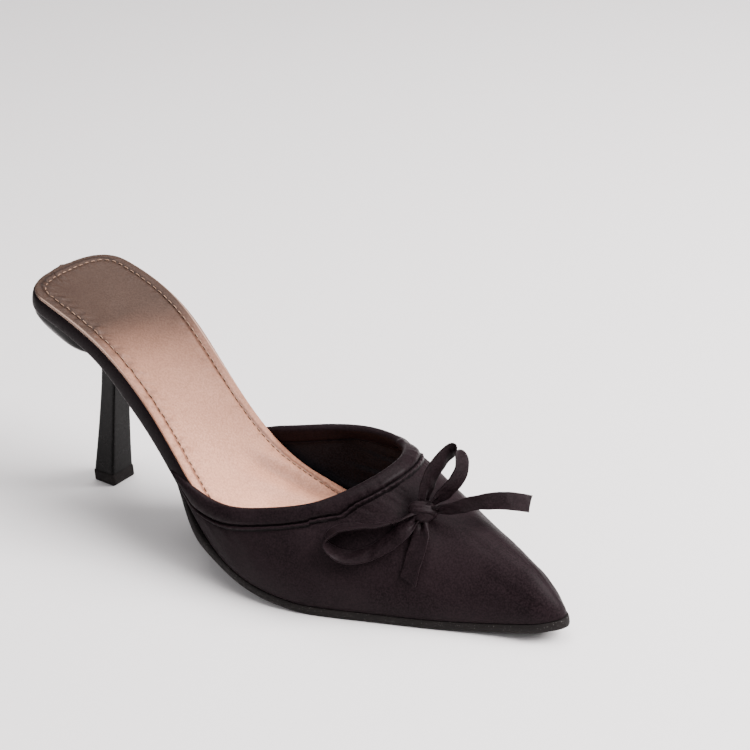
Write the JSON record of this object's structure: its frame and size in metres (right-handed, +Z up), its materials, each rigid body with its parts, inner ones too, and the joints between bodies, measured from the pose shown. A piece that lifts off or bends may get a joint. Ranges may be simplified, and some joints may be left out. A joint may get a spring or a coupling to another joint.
{
  "type": "stiletto mule",
  "caption": "Pointed satin mule with a slim square stiletto heel, a bound open topline and a ribbon bow on the vamp; open at the back and hollow inside.",
  "frame": {"origin": "centre of the heel tip's tread on the floor", "axes": "+X towards the toe, +Y towards the inner side of the right foot, +Z up"},
  "size_m": [0.2416, 0.0763, 0.0962],
  "materials": {
    "black_satin": "black woven satin with a soft sheen",
    "ribbon_satin": "black satin ribbon",
    "sock_satin": "rose beige satin",
    "heel_gloss": "polished black",
    "lift_rubber": "matt black",
    "sole_rubber": "matt dark grey"
  },
  "bodies": {
    "root": {"top_lift": "lift_rubber", "heel": "heel_gloss", "outsole": "sole_rubber", "insole_board": "black_satin", "sock": "sock_satin", "upper": "black_satin", "topline_binding": "black_satin", "bow_knot": "ribbon_satin", "bow_loop_standing": "ribbon_satin", "bow_loop_lying": "ribbon_satin", "bow_tail_front": "ribbon_satin", "bow_tail_side": "ribbon_satin"}
  },
  "joints": []
}
